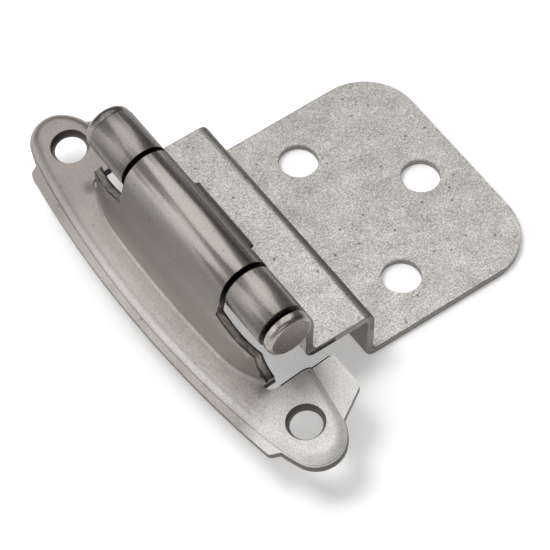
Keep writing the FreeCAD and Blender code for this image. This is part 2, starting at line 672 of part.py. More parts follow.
def build_hinge_pin():
    """A headed pin: a button at the near end, a riveted head at the far end and a flat under the barrel."""
    body = new_body("hinge_pin")
    plan = Outline(body, "PinProfile", "XY_Plane")
    near = "-leaf_half - button_gap"
    plan.polygon((("0", near + " - button_length"), ("head_radius", near + " - button_length"),
                  ("head_radius", near), ("shank", near), ("shank", "leaf_half"),
                  ("head_radius", "leaf_half"), ("head_radius", "leaf_half + rivet_length"),
                  ("0", "leaf_half + rivet_length")))
    turned = body.newObject("PartDesign::Revolution", "TurnedPin")
    turned.Profile = plan.sketch
    turned.ReferenceAxis = (plan.sketch, ["V_Axis"])
    turned.Angle = 360
    doc.recompute()

    def rim(at):
        place = number(at)

        def on_rim(item):
            box = item.BoundBox
            return (abs(box.YMin - place) < 0.01 and abs(box.YMax - place) < 0.01
                    and abs(box.XMax - number("head_radius")) < 0.01)
        return on_rim
    round_edges(body, "ButtonRim", "button_round", rim(near + " - button_length"))
    round_edges(body, "RivetRim", "rivet_round", rim("leaf_half + rivet_length"))
    flat = Outline(body, "CamPlan", "XZ_Plane")
    flat.polygon((("-shank", "-cam_flat"), ("-shank", "-2 * shank"), ("shank", "-2 * shank"),
                  ("shank", "-cam_flat")))
    pocket(body, flat, "CamFlat", "2 * cam_half", symmetric=True)
    body.setExpression("Placement.Base.x", linked("pin_x"))
    body.setExpression("Placement.Base.z", linked("pin_z"))
    return body


def build_closing_spring():
    """A bent strip: foot under the raised level, upright inside the skirt and a run under the pin."""
    body = new_body("closing_spring")
    plan = Outline(body, "SpringSection", "XZ_Plane", "-spring_far")
    thick = number("spring_gauge")
    left = number("spring_x")
    fold = number("spring_fold")
    turn = number("spring_turn")
    curl = number("spring_curl")
    foot_top = number("raise - spring_fit")
    run_top = number("pin_z - cam_flat - spring_touch")
    foot_end = number("spring_x - spring_foot")
    fold_centre = (left - fold, foot_top + fold)
    turn_centre = (left + thick + turn, run_top - thick - turn)
    curl_centre = (turn_centre[0] + number("spring_run"), run_top - thick - curl)
    stop = 90 - number("spring_curl_turn")
    pieces = (
        plan.line((foot_end, foot_top - thick), (left - fold, foot_top - thick)),
        plan.arc((left - fold, foot_top - thick), (left + thick, foot_top + fold), fold_centre, smooth=True),
        plan.line((left + thick, foot_top + fold), (left + thick, turn_centre[1]), smooth=True),
        plan.arc((left + thick, turn_centre[1]), (turn_centre[0], run_top - thick), turn_centre, smooth=True),
        plan.line((turn_centre[0], run_top - thick), (curl_centre[0], run_top - thick), smooth=True),
        plan.arc((curl_centre[0], run_top - thick), polar(curl_centre, curl, stop), curl_centre, smooth=True),
        plan.line(polar(curl_centre, curl, stop), polar(curl_centre, curl + thick, stop)),
        plan.arc(polar(curl_centre, curl + thick, stop), (curl_centre[0], run_top), curl_centre),
        plan.line((curl_centre[0], run_top), (turn_centre[0], run_top), smooth=True),
        plan.arc((turn_centre[0], run_top), (left, turn_centre[1]), turn_centre, smooth=True),
        plan.line((left, turn_centre[1]), (left, foot_top + fold), smooth=True),
        plan.arc((left, foot_top + fold), (left - fold, foot_top), fold_centre, smooth=True),
        plan.line((left - fold, foot_top), (foot_end, foot_top), smooth=True),
        plan.line((foot_end, foot_top), (foot_end, foot_top - thick)),
    )
    plan.close()
    turn_x = "spring_x + spring_gauge + spring_turn"
    run_z = "pin_z - cam_flat - spring_touch"
    arcs = (
        (pieces[1], "spring_x - spring_fold", "raise - spring_fit + spring_fold", "spring_fold + spring_gauge"),
        (pieces[3], turn_x, run_z + " - spring_gauge - spring_turn", "spring_turn"),
        (pieces[5], turn_x + " + spring_run", run_z + " - spring_gauge - spring_curl", "spring_curl"),
        (pieces[7], turn_x + " + spring_run", run_z + " - spring_gauge - spring_curl",
         "spring_curl + spring_gauge"),
        (pieces[9], turn_x, run_z + " - spring_gauge - spring_turn", "spring_turn + spring_gauge"),
        (pieces[11], "spring_x - spring_fold", "raise - spring_fit + spring_fold", "spring_fold"),
    )
    for piece, x, z, radius in arcs:
        plan.place(piece["centre"], x, z)
        plan.radius(piece, radius)
    plan.place(pieces[0]["first"], "spring_x - spring_foot", "raise - spring_fit - spring_gauge")
    plan.place(pieces[13]["first"], "spring_x - spring_foot", "raise - spring_fit")
    drop = "cos(spring_curl_turn * 1deg)"
    plan.place(pieces[5]["last"], y=arcs[2][2] + " + spring_curl * " + drop)
    plan.place(pieces[7]["first"], y=arcs[3][2] + " + (spring_curl + spring_gauge) * " + drop)
    pad(body, plan, "SpringStrip", "spring_far - spring_near")
    return body


def check_and_write(bodies):
    """Stop if anything failed, then write each piece to a file with its label as name."""
    doc.recompute()
    for item in doc.Objects:
        if "Invalid" in item.State or "Error" in item.State:
            raise RuntimeError("%s did not build: %s" % (item.Name, item.State))
    for body in bodies:
        if body.Shape.isNull() or not body.Shape.isValid() or len(body.Shape.Solids) != 1:
            raise RuntimeError(body.Label + " is not one valid solid")
    os.makedirs("parts", exist_ok=True)
    for body in bodies:
        body.Shape.exportStep("parts/%s.step" % body.Label)
        box = body.Shape.BoundBox
        print("%s %.1f x %.1f x %.1f mm, %.0f mm3" % (body.Label, box.XLength, box.YLength, box.ZLength,
                                                       body.Shape.Volume))


check_and_write([build_frame_leaf(), build_door_leaf(), build_hinge_pin(), build_closing_spring()])
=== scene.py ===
import math

import bpy
from mathutils import Matrix, Vector


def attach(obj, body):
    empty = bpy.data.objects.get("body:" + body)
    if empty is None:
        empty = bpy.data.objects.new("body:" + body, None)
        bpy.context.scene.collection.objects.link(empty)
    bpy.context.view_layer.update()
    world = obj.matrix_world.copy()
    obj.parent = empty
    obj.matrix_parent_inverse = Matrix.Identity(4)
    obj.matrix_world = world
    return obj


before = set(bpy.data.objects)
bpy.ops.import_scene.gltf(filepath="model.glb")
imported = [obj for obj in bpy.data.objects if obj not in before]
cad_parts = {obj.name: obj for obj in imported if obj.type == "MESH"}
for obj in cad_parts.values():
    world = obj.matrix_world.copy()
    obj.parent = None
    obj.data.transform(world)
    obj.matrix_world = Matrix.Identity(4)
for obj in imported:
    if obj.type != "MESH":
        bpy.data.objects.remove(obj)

bl_info = {
    "name": "Self-closing surface hinge",
    "version": (1, 0, 0),
    "blender": (4, 5, 0),
    "location": "View3D > Sidebar > Hinge",
    "description": "Finishes the hinge's metal pieces in weathered nickel and lights them on a pale floor",
    "category": "Object",
}

MM = 0.001

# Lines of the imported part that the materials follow, in millimetres
PIN_X = 3.35
PIN_Z = 14.1
PIN_MIDDLE = -0.3
PIN_HALF = 22.6
SHANK = 2.6
ROLL_REACH = 4.2
BARREL_HALF = 11.75
KNUCKLE_START = 12.5
GAUGE = 1.25
LEAF_HALF = 20.5
STRIP_DROP = 11.46
PLATE_DROP = 21.06
WALL_X = 16.83
WINDOW_X = 9.6
SCREW_HALF = 29.1
OPENING_HALF = 22.2
NOTCH_X = -1.35
LIP_LOW_Y = 19.6
LIP_LOW_Z = 8.7

# The door leaf's turn about the pin, past square
LEAF_TILT = math.radians(7.5)

# Places of the Mix node's inputs and of its colour output: it has several of each name
SHARE, FROM_NUMBER, TO_NUMBER, FROM, TO = 0, 2, 3, 6, 7
RESULT = 2

# Settings of the Mix node: one colour fades to another, or a factor darkens it
FADE = {"data_type": "RGBA"}
DARKEN = {"data_type": "RGBA", "blend_type": "MULTIPLY"}

# A fade below is where it starts and ends, and its value at both. It runs over millimetres, or from 0 to 1
# over another mask. The plating's run over the value of a noise, and over the cells round the pits.
SPECK_FADE = (0.3, 0.75, 0.0, 1.0)
CLOUD_FADE = (0.35, 0.7, 0.0, 0.3)
PIT_FADE = (0.05, 0.13, 0.6, 0.0)
GLOSS_FADE = (0.0, 1.0, -0.04, 0.14)
GRAIN_HEIGHT = 0.015

# Share of bare metal: the rest is the thin patina, which doesn't mirror
METALLIC = 0.85

# Round the pin: how far the bores with their painted shade reach, and how far the painted highlight and shade
# bands do on each side of straight up, in degrees
BORE_FADE = (2.9, 3.1, 1.0, 0.0)
BAND_REACH = 120

# The door leaf: painted shade towards its far end, a painted shade line before its outer fold, dark patina
# with painted shade on all that lies lower, and painted shade in the pin's gaps
DOOR_SPECK_DEPTH = 0.7
DOOR_FAR_SHADE_FADE = (-18.0, 18.0, 1.06, 0.88)
FOLD_SHADE_FADE = (WALL_X - 1.5, WALL_X - 0.6, 1.0, 0.5)
FOLD_DEPTH = STRIP_DROP + 4
KNUCKLE_FADE = (3.9, 5.2, 1.0, 0.0)
# Painted highlight and shade bands round the knuckles
KNUCKLE_PAINTED_BANDS = (
    (-110, 0.4), (-90, 0.48), (-62, 0.22), (-32, 0.6), (-16, 0.58), (0, 0.74), (20, 0.68), (38, 0.45),
    (60, 0.2))
BELOW_STRIP_FADE = (-STRIP_DROP - 0.3, -STRIP_DROP - 0.08, 1.0, 0.0)
BELOW_PLATE_FADE = (-PLATE_DROP - 0.3, -PLATE_DROP - 0.08, 1.0, 0.0)
END_FADE = (LEAF_HALF - 0.2, LEAF_HALF - 0.06, 0.0, 1.0)
PATINA_AND_SHADE_CLEAR = 0.25
INNER_END_FADE = (KNUCKLE_START + 0.05, KNUCKLE_START + 0.15, 1.0, 0.0)
DOOR_ROUGH_FADE = (0.0, 1.0, 0.42, 0.27)
NEAR_WALL = 0.3
NEAR_WINDOW = 0.15
NEAR_UNDERSIDE = 0.1

# The frame leaf's levels: grey at the far ear, rubbed bright at the near one, on a line askew to the pin
FAR_EAR_FADE = (10.0, 22.0, 0.0, 1.0)
RUBBED_SLOPE = -0.6
RUBBED_FADE = (-18.2, -24.2, 0.0, 1.0)
# The shoulder is paler partly from wear and partly from painted highlight; its crease gets painted shade
WEAR_AND_LIGHT_FADE = (-12.0, 12.0, 0.45, 0.1)
SHOULDER_FOOT_FADE = (1.3, 1.5, 0.0, 1.0)
SHOULDER_TOP_FADE = (2.1, 2.33, 1.0, 0.0)
CREASE_Z = 1.37
CREASE_HALF = 0.08
CREASE_SHADE_FADE = (0.0, 1.0, 1.0, 0.68)

# Its skirt and its barrel, both with painted light and shade
# The skirt's lower part is painted paler, to offset the shade in its crease
RISEN_FADE = (2.5, 8.5, 0.0, 1.0)
# Painted light towards the skirt's near end, and painted shade towards its far end and under the barrel
SKIRT_LIGHT_AND_SHADE_FADE = (-16.0, 18.0, 1.35, 0.65)
UNDER_BARREL_SHADE_FADE = (7.5, 12.0, 1.0, 0.72)
ROLLED_FADE = (13.2, 16.2, 0.0, 1.0)
# Painted highlight and shade bands round the barrel
BARREL_PAINTED_BANDS = (
    (-90, 0.24), (-60, 0.42), (-32, 0.8), (-18, 0.75), (-6, 0.82), (10, 0.82), (24, 0.4), (36, 1.0),
    (46, 0.3), (75, 0.1))
FRAME_SHADE = 0.66
LEVEL_DEPTH_FADE = (-22.0, 18.0, 0.75, 0.4)
SKIRT_FOOT = 2.5
SKIRT_LOW = 5.0
SKIRT_DEPTH = 0.35
# Dark patina with painted shade on the outer cut edges
LOW_CUT_FADE = (1.0, 1.2, 1.0, 0.0)
FACING_DOWN = -0.6
# Painted shade on the barrel's end faces
BARREL_END_FADE = (BARREL_HALF - 0.15, BARREL_HALF - 0.05, 0.0, 1.0)
FRAME_ROUGH_FADE = (0.0, 1.0, 0.4, 0.25)
RUBBED_METALLIC_FADE = (0.0, 1.0, METALLIC, 0.3)

# The barrel's flank towards the door is dull: it would mirror the white strip beside it
FLANK_FADE = (PIN_X + 2.6, PIN_X + 3.2, 0.0, 1.0)
FLANK_LOW = 6.0
FLANK_ROUGH = 0.35
FLANK_METALLIC_FADE = (0.0, 1.0, 1.0, 0.2)

# The skirt's two cut lips: their inner line leans with the height, and a share runs from it to the outside
LIP_START = 2.6
LIP_STEEP = 0.19
LIP_FLAT = 3.57
LIP_EDGE_FADE = (-0.12, -0.04, 0.0, 1.0)
LIP_LOW_FADE = (3.0, 7.0, 0.62, 1.17)
LIP_HIGH_FADE = (8.7, 9.6, 0.0, 0.72)
LIP_WIDTH_FADE = (0.0, 1.33, 0.0, 1.0)
# Painted shade along both edges of the lips and near their foot, with a painted highlight between
LIP_LIGHT_AND_SHADE_TONES = ((0.04, 0.35), (0.14, 0.95), (0.55, 1.15), (0.7, 0.6), (0.82, 0.16))
LIP_FOOT_SHADE_FADE = (4.0, 5.0, 0.45, 1.0)
STREAK_STRETCH = (1.6, 0.4, 0.3)
STREAK_SCALE = 2.2
STREAK_FADE = (0.35, 0.65, 0.6, 1.3)

# Painted shade: dark borders of the lips, found from the way that their bevels face, and a painted shadow
# where the cut ends
BORDER_FACING = 0.65
BORDER_SPREAD = 0.15
BORDER_LOW = 3.5
CUT_END_SHADOW_PLACE = (NOTCH_X - 0.3, OPENING_HALF - 0.9, 0)
CUT_END_SHADOW_FADE = (0.2, 1.7, 0.55, 1.0)

# Painted shade on the walls of the screw holes and of the opening, all below the top of the raised level, and
# along the tabs' edges
UPRIGHT = 0.5
LEVEL_TOP = 2.3
HOLE_FADE = (2.95, 3.05, 1.0, 0.0)
NEAR_OPENING = 0.15
TAB_EDGE_SHADE_HALF = 0.2
TAB_EDGE_SHADE_START = 0.6

# The pin: clouds of tarnish a few millimetres wide, and painted shade that makes the far head darker than the
# near one
TARNISH_SCALE = 0.45
TARNISH_FADE = (0.42, 0.6, 1.0, 0.55)
FAR_HEAD_SHADE_FADE = (0.0, 20.0, 1.0, 0.6)
HEAD_SHADE = 0.75
HEAD_DEPTH = 0.35
FACE_DEPTH = 0.04
FACE_TONE = (0.78, 0.78, 0.78, 1)
SHANK_FADE = (SHANK + 0.05, SHANK + 0.1, 1.0, 0.0)
HEAD_LENGTH = 0.9
HEAD_ROUGH = 0.27

# The spring
SPRING_SHADE = 0.6
SPRING_DEPTH = 0.6
SPRING_ROUGH = 0.4

# Two pieces that the imported part hasn't, in millimetres: a web that also closes the opening's rounded end,
# and a dark strip under the window that stands in for shade
WEB_PLACE = (-0.55, 20.8, 1.7)
WEB_RADIUS = 1.4
WEB_DEPTH = 1.05
WEB_NARROWING = 0.6
WEB_STEPS = ((0.2, -0.05), (0.3, -0.12))
FACING_UP = 0.9
TAIL_START = (6.7, 3.65, 9.4)
TAIL_TURN = math.radians(140)
TAIL_WIDTH = 0.6
TAIL_LENGTH = 13.6
TAIL_STEPS = ((1.2, 0, -1.7), (1.2, 0, -1.5), (1.05, 0, -1.2))
TAIL_ROUNDING = 0.2
SMOOTH_ANGLE = math.radians(40)

# The sharp edges that tumbling rounds, and the facets that are joined before it
SHARP_ANGLE = math.radians(35)
FLAT_ANGLE = math.radians(0.5)
WELD_DISTANCE = 0.001

# The soft lamps that the metal mirrors: name, direction, width and height in metres, and share of the level
SOFTBOXES = (
    ("far_softbox", (0.24, 0.47, 0.85), (0.6, 0.62), 1.0),
    ("left_softbox", (-0.74, 0.47, 0.49), (0.36, 0.6), 0.9),
    ("near_softbox", (-0.15, -0.72, 0.68), (0.45, 0.3), 0.6),
)
SOFTBOX_DISTANCE = 0.6

# The lamp that casts the shadow on the floor, which the metal doesn't mirror
FLOOR_LAMP = ("floor_lamp", (-0.15, 0.25, 0.95), (0.26, 0.26), 12.0)
FLOOR_LAMP_DISTANCE = 0.8
FLOOR_GAP = 0.02
ROOM_LEFT_FADE = (0.3, -1.0, 0.0, 1.0)

# The photograph's viewing angle, with its slight roll. The distance is in metres, the rest in millimetres.
AIM = (11.2, -6.2, 0)
AZIMUTH = math.radians(-27.413)
ELEVATION = math.radians(59.941)
ROLL = math.radians(-10.199)
CAMERA_DISTANCE = 0.5385
SENSOR = 36
LENS = 246


def linear(text):
    """The linear colour, with alpha, of an sRGB colour written as six hex digits."""
    values = []
    for place in (0, 2, 4):
        share = int(text[place:place + 2], 16) / 255
        values.append(share / 12.92 if share <= 0.04045 else ((share + 0.055) / 1.055) ** 2.4)
    return (*values, 1.0)


def opaque(colour):
    """A colour property's value with the alpha that a shader socket wants."""
    return (*colour, 1.0)


def colour_setting(name, description, default):
    """A colour property. Where the default has an alpha, it is left off."""
    return bpy.props.FloatVectorProperty(
        name=name, description=description, subtype="COLOR", size=3, min=0, max=1, default=default[:3])


def add(tree, kind, inputs=(), stops=(), **settings):
    """Adds a node with its settings and links, and gives back its outputs.

    The inputs are numbers, colours or other nodes' outputs, either in the node's own order or each with
    its name or place. The stops of a colour ramp are pairs of a place and a grey.
    """
    node = tree.nodes.new(kind)
    for name, value in settings.items():
        setattr(node, name, value)
    named = inputs.items() if isinstance(inputs, dict) else enumerate(inputs)
    for name, value in named:
        if isinstance(value, bpy.types.NodeSocket):
            tree.links.new(value, node.inputs[name])
        else:
            node.inputs[name].default_value = value
    if stops:
        elements = node.color_ramp.elements
        elements.remove(elements[0])
        for place, (position, grey) in enumerate(stops):
            stop = elements.new(position) if place else elements[0]
            stop.position = position
            stop.color = (grey, grey, grey, 1.0)
    return node.outputs


def new_material(name):
    """An empty node material and its tree."""
    material = bpy.data.materials.new(name)
    material.use_nodes = True
    material.node_tree.nodes.clear()
    return material, material.node_tree


def millimetres(tree):
    """Object coordinates in millimetres, whole and as x, y and z."""
    place = add(tree, "ShaderNodeTexCoord")["Object"]
    whole = add(tree, "ShaderNodeVectorMath", {0: place, "Scale": 1 / MM}, operation="SCALE")["Vector"]
    x, y, z = add(tree, "ShaderNodeSeparateXYZ", (whole,))
    return whole, x, y, z


def facing(tree):
    """The x, y and z of the way that the surface faces, in the object's own axes."""
    normal = add(tree, "ShaderNodeTexCoord")["Normal"]
    return add(tree, "ShaderNodeSeparateXYZ", (normal,))


def from_axis(tree, x, z):
    """How far a point is beside the pin's axis and above it, in millimetres."""
    aside = add(tree, "ShaderNodeMath", (x, PIN_X), operation="SUBTRACT")[0]
    above = add(tree, "ShaderNodeMath", (z, PIN_Z), operation="SUBTRACT")[0]
    return aside, above


def distance_from_pin(tree, x, z):
    """How far a point is from the pin's axis, in millimetres."""
    flat = add(tree, "ShaderNodeCombineXYZ", from_axis(tree, x, z))[0]
    return add(tree, "ShaderNodeVectorMath", (flat,), operation="LENGTH")["Value"]


def painted_bands_round_pin(tree, x, z, stops):
    """A painted highlight and shade factor that changes round the pin. Each stop is a turn from straight up,
    in degrees, and a factor.
    """
    turn = add(tree, "ShaderNodeMath", from_axis(tree, x, z), operation="ARCTAN2")[0]
    reach = math.radians(BAND_REACH)
    share = add(tree, "ShaderNodeMapRange", (turn, -reach, reach, 0.0, 1.0))[0]
    shares = [((degrees + BAND_REACH) / (2 * BAND_REACH), factor) for degrees, factor in stops]
    return add(tree, "ShaderNodeValToRGB", (share,), shares)["Color"]


def plating(tree, whole, finish, pale, dark, depth):
    """Weathered plating: dark specks, cloudy patches and a few pits over a pale and a dark tone.

    The real grain is near 0.05 mm, too fine to show in the render, so the specks are drawn 0.25 mm
    apart. It gives back the colour, the change of roughness and the bumped normal.
    """
    speck = add(tree, "ShaderNodeTexNoise", {
        "Vector": whole, "Scale": MM / finish.speck_size, "Detail": 1.0, "Roughness": 0.5})[0]
    speck = add(tree, "ShaderNodeMapRange", (speck, *SPECK_FADE))[0]
    cloud = add(tree, "ShaderNodeTexNoise", {
        "Vector": whole, "Scale": MM / finish.patch_size, "Detail": 3.0, "Roughness": 0.6})[0]
    cloud = add(tree, "ShaderNodeMapRange", (cloud, *CLOUD_FADE))[0]
    cell = add(tree, "ShaderNodeTexVoronoi", {"Vector": whole, "Scale": MM / finish.pit_spacing})["Distance"]
    pit = add(tree, "ShaderNodeMapRange", (cell, *PIT_FADE))[0]
    either = add(tree, "ShaderNodeMath", (speck, cloud), operation="ADD")[0]
    share = add(tree, "ShaderNodeMath", (either, depth, pit), operation="MULTIPLY_ADD", use_clamp=True)[0]
    colour = add(tree, "ShaderNodeMix", {SHARE: share, FROM: pale, TO: dark}, **FADE)[RESULT]
    gloss = add(tree, "ShaderNodeMapRange", (share, *GLOSS_FADE))[0]
    bump = add(tree, "ShaderNodeBump", {
        "Strength": depth, "Distance": GRAIN_HEIGHT * MM, "Height": share}, invert=True)[0]
    return colour, gloss, bump


def finish_node(node_name, material, rounding):
    """Puts one material on a piece of the frame, and rounds its sharp edges as tumbling does."""
    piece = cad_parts[node_name]
    if not piece.data.materials:
        piece.data.materials.append(material)
    for slot in piece.material_slots:
        slot.material = material
    weld = piece.modifiers.new("join_facets", "WELD")
    weld.merge_threshold = WELD_DISTANCE * MM
    planar = piece.modifiers.new("clear_flat_facets", "DECIMATE")
    planar.decimate_type = "DISSOLVE"
    planar.angle_limit = FLAT_ANGLE
    bevel = piece.modifiers.new("tumbled_edges", "BEVEL")
    bevel.width = rounding
    bevel.segments = 2
    bevel.limit_method = "ANGLE"
    bevel.angle_limit = SHARP_ANGLE
    bevel.harden_normals = True


class HingeFinish(bpy.types.PropertyGroup):
    sheet: colour_setting(
        "Door leaf", "Colour of the door leaf's plated sheet", linear("ebe8e3"))
    sheet_speck: colour_setting(
        "Door leaf specks", "Colour of the darkened specks in the door leaf's plating", linear("8f8983"))
    plateau: colour_setting(
        "Frame leaf", "Colour of the frame leaf's raised level", linear("c4beb7"))
    bright_ear: colour_setting(
        "Bright ear", "Colour of the frame leaf's near ear, where the patina is rubbed off", linear("f6f3f0"))
    far_ear: colour_setting(
        "Far ear", "Colour of the grey patina on the frame leaf's far ear", linear("a29b95"))
    # Painted shade, in the screw holes and along the lips' borders
    hole: colour_setting(
        "Hole walls", "Colour of the old grime in the screw holes", linear("5c5550"))
    lip: colour_setting(
        "Lips", "Colour of the skirt's two slanted cut faces", linear("a19a93"))
    skirt: colour_setting(
        "Skirt", "Colour of the patina on the frame leaf's skirt", linear("8b847d"))
    barrel: colour_setting(
        "Barrel", "Colour of the barrel over the pin", linear("c4bdb6"))
    # Dark patina with painted shade on the sheet's cut edges
    cut_edge: colour_setting(
        "Cut edges", "Colour of the sheet's cut edges, where the patina stays darkest", linear("665f59"))
    # Painted shade, in the hinge's gaps
    gap_shade: colour_setting(
        "Recesses", "Colour of the faces inside the hinge's gaps", linear("23201d"))
    spring: colour_setting(
        "Spring", "Colour of the closing spring's oiled steel", linear("47423f"))
    head: colour_setting(
        "Pin heads", "Colour of the pin's two heads", linear("b8b1aa"))
    speck_size: bpy.props.FloatProperty(
        name="Speck size", description="Spacing of the dark specks in the plating",
        unit="LENGTH", min=0.0001, default=0.25 * MM)
    patch_size: bpy.props.FloatProperty(
        name="Patch size", description="Width of the cloudy patches in the plating",
        unit="LENGTH", min=0.0001, default=3.5 * MM)
    pit_spacing: bpy.props.FloatProperty(
        name="Pit spacing", description="Distance between the few small pits in the plating",
        unit="LENGTH", min=0.0001, default=2.2 * MM)
    rounding: bpy.props.FloatProperty(
        name="Edge rounding", description="Rounding that tumbling leaves on the sheet's cut edges",
        unit="LENGTH", min=0, default=0.14 * MM)


class HingeStage(bpy.types.PropertyGroup):
    floor_colour: colour_setting(
        "Floor", "Colour of the floor", (0.9, 0.9, 0.9))
    floor_glow: bpy.props.FloatProperty(
        name="Floor glow", description="Share of white that the floor gives out itself, seen and mirrored",
        default=0.3, min=0, max=1)
    lamp_level: bpy.props.FloatProperty(
        name="Lamp level", description="Brightness of the soft lamps' faces, where 1 is white",
        default=1.25, min=0)
    floor_width: bpy.props.FloatProperty(
        name="Floor width", description="Width of the square floor", unit="LENGTH", default=12.0)
    room: colour_setting(
        "Room", "Colour of the dim room round the table", (0.1, 0.1, 0.1))
    room_left: colour_setting(
        "Room, left", "Colour of the room's paler left side", (0.35, 0.35, 0.35))


class OBJECT_OT_hinge_door_leaf(bpy.types.Operator):
    """Gives the door leaf its speckled plating, with dark patina and painted shade on its cut edges, painted
    shade in the pin's gaps and painted highlight and shade on its knuckles
    """
    bl_idname = "object.hinge_door_leaf"
    bl_label = "Door leaf"

    def execute(self, context):
        finish = context.scene.hinge_finish
        # Tumbling with stones leaves rolled, plated sheet pale and matt, with fine dark specks all over
        material, tree = new_material("tumbled_nickel_plated_steel_sheet")
        whole, x, y, z = millimetres(tree)
        across, height = self.leaf_axes(tree, whole)
        ends = add(tree, "ShaderNodeMath", (y,), operation="ABSOLUTE")[0]
        from_pin = distance_from_pin(tree, x, z)
        below_strip = add(tree, "ShaderNodeMapRange", (height, *BELOW_STRIP_FADE))[0]

        colour, gloss, bump = plating(
            tree, whole, finish, opaque(finish.sheet), opaque(finish.sheet_speck), DOOR_SPECK_DEPTH)
        # Painted shade: the door leaf lighter at its near end and darker to its far end
        far_darkening = add(tree, "ShaderNodeMapRange", (y, *DOOR_FAR_SHADE_FADE))[0]
        colour = add(tree, "ShaderNodeMix", {SHARE: 1.0, FROM: colour, TO: far_darkening}, **DARKEN)[RESULT]
        colour = self.with_fold_shade(tree, colour, across, height)

        # The knuckles are smoother and darker than the flats, with painted highlight and shade bands round
        # the pin, darkest on their two sides
        rolled = add(tree, "ShaderNodeMix", {SHARE: 1.0, FROM: opaque(finish.barrel), TO: far_darkening}, **DARKEN)
        painted_bands = painted_bands_round_pin(tree, x, z, KNUCKLE_PAINTED_BANDS)
        rolled = add(tree, "ShaderNodeMix", {SHARE: 1.0, FROM: rolled[RESULT], TO: painted_bands}, **DARKEN)
        knuckle = add(tree, "ShaderNodeMapRange", (from_pin, *KNUCKLE_FADE))[0]
        colour = add(tree, "ShaderNodeMix", {
            SHARE: knuckle, FROM: colour, TO: rolled[RESULT]}, **FADE)[RESULT]

        # Dark patina with painted shade on all that lies lower
        patina = self.patina_and_shade_share(tree, across, height, ends, below_strip)
        cut = add(tree, "ShaderNodeMix", {
            SHARE: PATINA_AND_SHADE_CLEAR, FROM: opaque(finish.cut_edge), TO: colour}, **FADE)[RESULT]
        colour = add(tree, "ShaderNodeMix", {SHARE: patina, FROM: colour, TO: cut}, **FADE)[RESULT]
        # Painted shade in the knuckles' inner ends, their bores and at the window
        gap = self.gap_share(tree, across, ends, from_pin, below_strip)
        colour = add(tree, "ShaderNodeMix", {
            SHARE: gap, FROM: colour, TO: opaque(finish.gap_shade)}, **FADE)[RESULT]
        rough = add(tree, "ShaderNodeMapRange", (knuckle, *DOOR_ROUGH_FADE))[0]
        rough = add(tree, "ShaderNodeMath", (rough, gloss), operation="ADD")[0]
        surface = add(tree, "ShaderNodeBsdfPrincipled", {
            "Base Color": colour, "Metallic": METALLIC, "Roughness": rough, "Normal": bump})["BSDF"]
        add(tree, "ShaderNodeOutputMaterial", {"Surface": surface})
        finish_node("door_leaf", material, finish.rounding)
        return {"FINISHED"}

    def leaf_axes(self, tree, whole):
        """Distance across the leaf and height above it, both from the pin, in the tilted leaf's own axes."""
        centred = add(tree, "ShaderNodeVectorMath", (whole, (PIN_X, 0, PIN_Z)), operation="SUBTRACT")[0]
        level = add(tree, "ShaderNodeVectorRotate", {
            "Vector": centred, "Axis": (0, 1, 0), "Angle": -LEAF_TILT}, rotation_type="AXIS_ANGLE")[0]
        across, _, height = add(tree, "ShaderNodeSeparateXYZ", (level,))
        return across, height

    def with_fold_shade(self, tree, colour, across, height):
        """The colour with the soft painted shade line that the strip has just before its outer fold."""
        line = add(tree, "ShaderNodeMapRange", (across, *FOLD_SHADE_FADE))[0]
        on_strip = add(tree, "ShaderNodeMath", (height, -FOLD_DEPTH), operation="GREATER_THAN")[0]
        line = add(tree, "ShaderNodeMix", {SHARE: on_strip, FROM_NUMBER: 1.0, TO_NUMBER: line})[0]
        return add(tree, "ShaderNodeMix", {SHARE: 1.0, FROM: colour, TO: line}, **DARKEN)[RESULT]

    def patina_and_shade_share(self, tree, across, height, ends, below_strip):
        """1 where dark patina with painted shade goes, on every face below the two levels that the hand rubs,
        and 0 elsewhere.
        """
        below_plate = add(tree, "ShaderNodeMapRange", (height, *BELOW_PLATE_FADE))[0]
        past_wall = add(tree, "ShaderNodeMath", (across, WALL_X + NEAR_WALL), operation="GREATER_THAN")[0]
        below = add(tree, "ShaderNodeMix", {
            SHARE: past_wall, FROM_NUMBER: below_strip, TO_NUMBER: below_plate})[0]
        under_strip = add(tree, "ShaderNodeMath", (height, -STRIP_DROP - GAUGE, NEAR_UNDERSIDE),
                          operation="COMPARE")[0]
        under_plate = add(tree, "ShaderNodeMath", (height, -PLATE_DROP - GAUGE + NEAR_UNDERSIDE),
                          operation="LESS_THAN")[0]
        underside = add(tree, "ShaderNodeMath", (under_strip, under_plate), operation="MAXIMUM")[0]
        below = add(tree, "ShaderNodeMath", (below, underside), operation="SUBTRACT", use_clamp=True)[0]
        at_end = add(tree, "ShaderNodeMapRange", (ends, *END_FADE))[0]
        return add(tree, "ShaderNodeMath", (below, at_end), operation="MAXIMUM")[0]

    def gap_share(self, tree, across, ends, from_pin, below_strip):
        """1 where painted shade goes: on the inner ends of the knuckles, in their bores and at the window,
        and 0 elsewhere.
        """
        inner = add(tree, "ShaderNodeMapRange", (ends, *INNER_END_FADE))[0]
        near_pin = add(tree, "ShaderNodeMath", (from_pin, ROLL_REACH), operation="LESS_THAN")[0]
        inner = add(tree, "ShaderNodeMath", (inner, near_pin), operation="MULTIPLY")[0]
        bore = add(tree, "ShaderNodeMapRange", (from_pin, *BORE_FADE))[0]
        gap = add(tree, "ShaderNodeMath", (inner, bore), operation="MAXIMUM")[0]
        window = add(tree, "ShaderNodeMath", (across, WINDOW_X + NEAR_WINDOW), operation="LESS_THAN")[0]
        window = add(tree, "ShaderNodeMath", (window, below_strip), operation="MULTIPLY")[0]
        return add(tree, "ShaderNodeMath", (gap, window), operation="MAXIMUM")[0]


